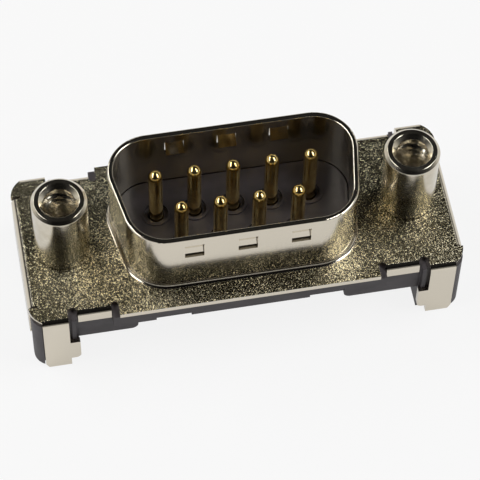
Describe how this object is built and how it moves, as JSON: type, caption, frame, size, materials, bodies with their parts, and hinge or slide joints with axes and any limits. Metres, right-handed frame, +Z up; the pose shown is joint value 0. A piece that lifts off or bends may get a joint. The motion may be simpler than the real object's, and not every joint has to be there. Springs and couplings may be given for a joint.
{
  "type": "d-sub connector",
  "caption": "Upright board-mount D-subminiature plug: drawn D shell with sprung walls and solder legs over a plastic housing, pin contacts and tapped standoffs.",
  "frame": {"origin": "on the board plane, under the middle of the shell's outline", "axes": "+Z up out of the board towards the mating side, +X along the length towards the right standoff, +Y towards the row of five contacts"},
  "size_m": [0.0312, 0.0126, 0.0119],
  "materials": {
    "shell_sheet": "tin plated, grained on the flange, smooth on drawn and cut faces",
    "standoff_metal": "turned and nickel plated",
    "contact_gold": "gold plated, polished",
    "insulator_plastic": "near-black moulded plastic",
    "housing_plastic": "dark grey-brown moulded plastic"
  },
  "bodies": {
    "root": {"shell": "shell_sheet", "insulator": "insulator_plastic", "housing": "housing_plastic", "contact_1": "contact_gold", "contact_2": "contact_gold", "contact_3": "contact_gold", "contact_4": "contact_gold", "contact_5": "contact_gold", "contact_6": "contact_gold", "contact_7": "contact_gold", "contact_8": "contact_gold", "contact_9": "contact_gold", "standoff_left": "standoff_metal", "standoff_right": "standoff_metal"}
  },
  "joints": []
}
